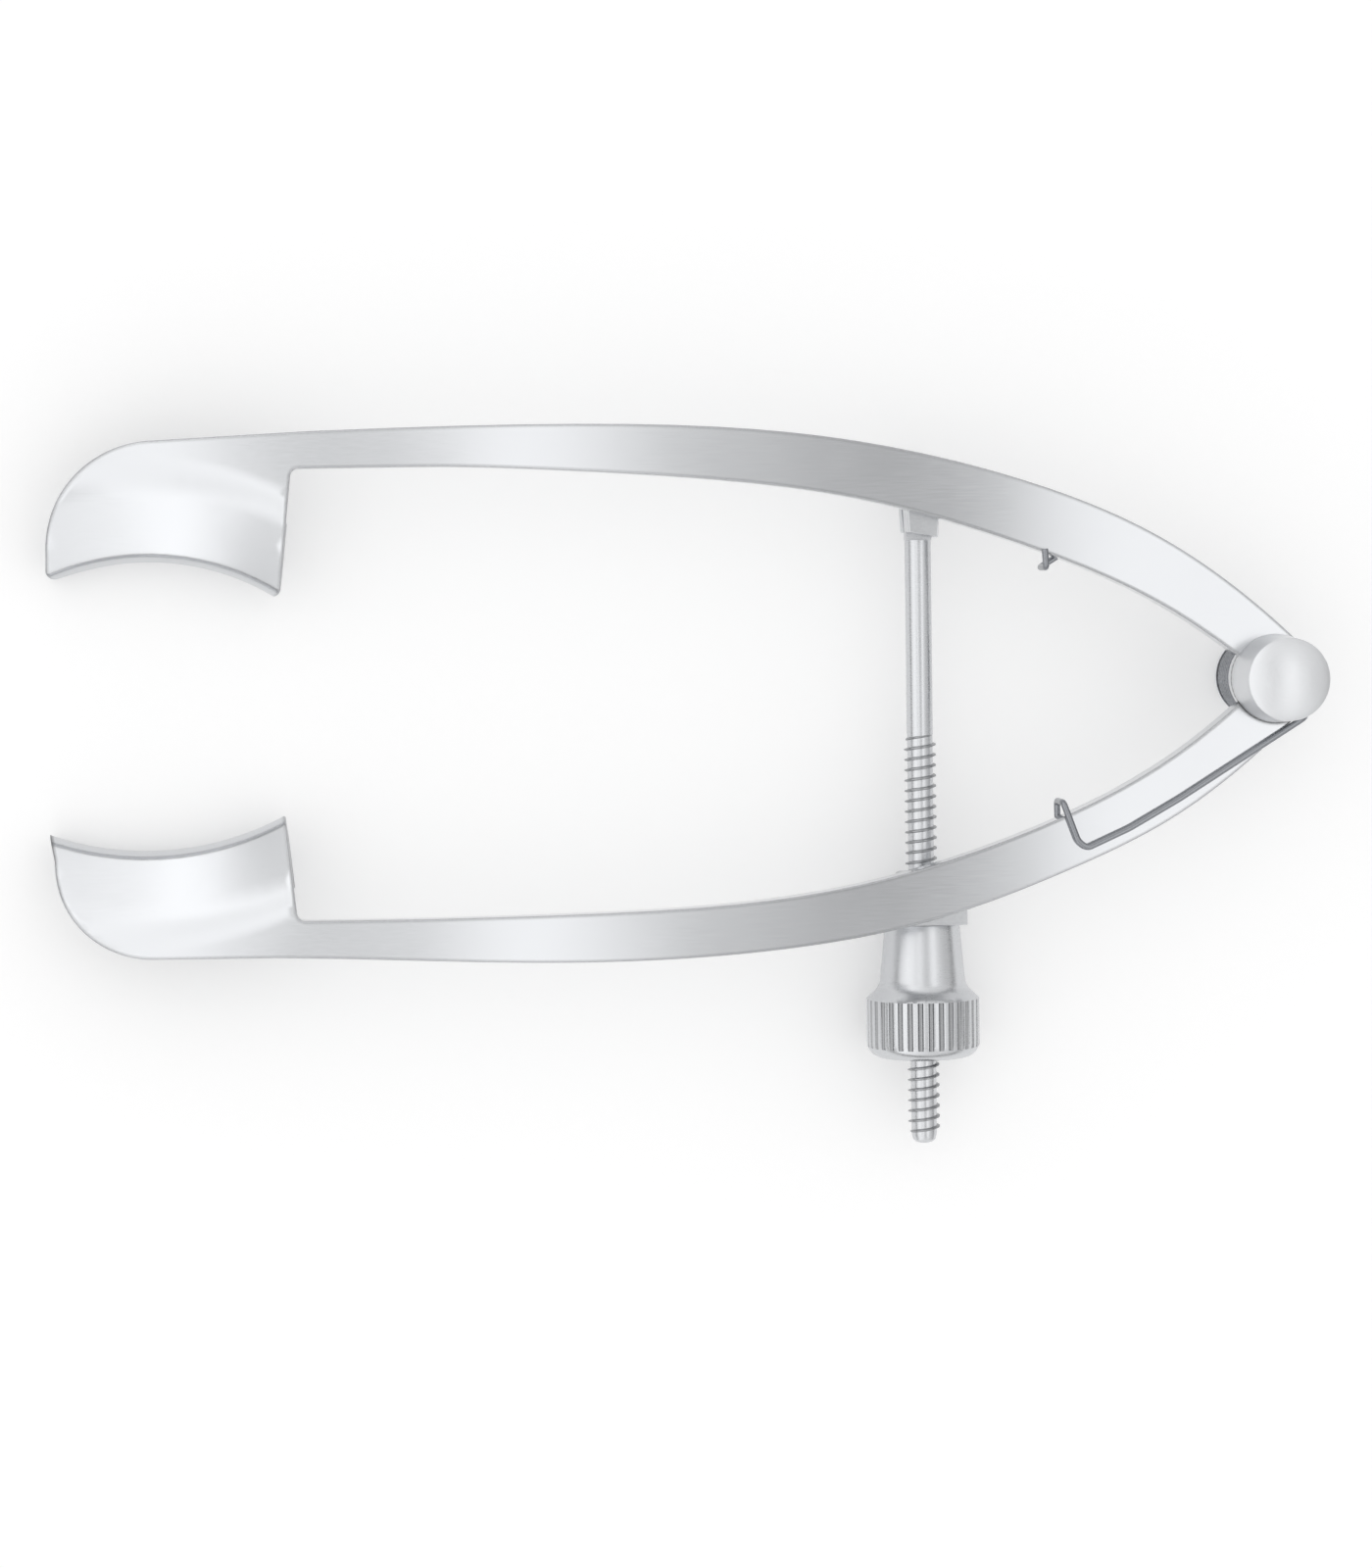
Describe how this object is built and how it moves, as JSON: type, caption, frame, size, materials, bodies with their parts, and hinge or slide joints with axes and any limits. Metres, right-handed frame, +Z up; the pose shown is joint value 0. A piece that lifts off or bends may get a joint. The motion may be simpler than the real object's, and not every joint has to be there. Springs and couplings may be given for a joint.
{
  "type": "eyelid retractor",
  "caption": "Self-retaining eyelid retractor: hinged steel arms with hooked solid lid blades, spread by a coiled wire spring and held by a threaded rod with a fluted thumb nut.",
  "frame": {"origin": "on the table the instrument lies on, in the middle of the lid opening between the blades", "axes": "+X from the lid blades towards the hinge, +Y from the lower-lid arm towards the upper-lid arm, +Z up out of the table"},
  "size_m": [0.0785, 0.0452, 0.0121],
  "materials": {
    "arm_steel": "fine satin",
    "turned_steel": "polished with faint turning marks",
    "fitting_steel": "satin",
    "rod_steel": "polished, thread slightly darker in its grooves",
    "spring_wire": "bright drawn wire"
  },
  "bodies": {
    "lower_arm": {"lower_arm": "arm_steel", "pivot_pin": "turned_steel", "pivot_barrel": "turned_steel", "opening_spring": "spring_wire"},
    "upper_arm": {"upper_arm": "arm_steel", "rod_yoke": "fitting_steel", "yoke_pin": "turned_steel"},
    "rod": {"threaded_rod": "rod_steel"},
    "block": {"swivel_block": "fitting_steel"},
    "nut": {"thumb_nut": "turned_steel"}
  },
  "joints": [
    {"name": "opening", "type": "hinge", "parent": "lower_arm", "child": "upper_arm", "pos_m": [0.068, 0, 0], "axis": [0, 0, -1], "range_deg": [-11.5, 13], "deforming": ["opening_spring"]},
    {"name": "rod_swivel", "type": "hinge", "parent": "upper_arm", "child": "rod", "pos_m": [0.04635, 0.01278, 0.00355], "axis": [0, 0, -1], "range_deg": [-6.5, 5.75]},
    {"name": "block_swivel", "type": "hinge", "parent": "lower_arm", "child": "block", "pos_m": [0.04635, -0.01278, 0.00355], "axis": [0, 0, -1], "range_deg": [-5.75, 6.5]},
    {"name": "nut_turn", "type": "hinge", "parent": "block", "child": "nut", "pos_m": [0.04635, -0.01513, 0.00355], "axis": [0, -1, 0], "range_deg": [-2407, 2721]}
  ],
  "couplings": [
    {"joint": "rod_swivel", "follows": "opening", "ratio": -0.5},
    {"joint": "block_swivel", "follows": "opening", "ratio": 0.5},
    {"joint": "nut_turn", "follows": "opening", "ratio": 209.3}
  ]
}
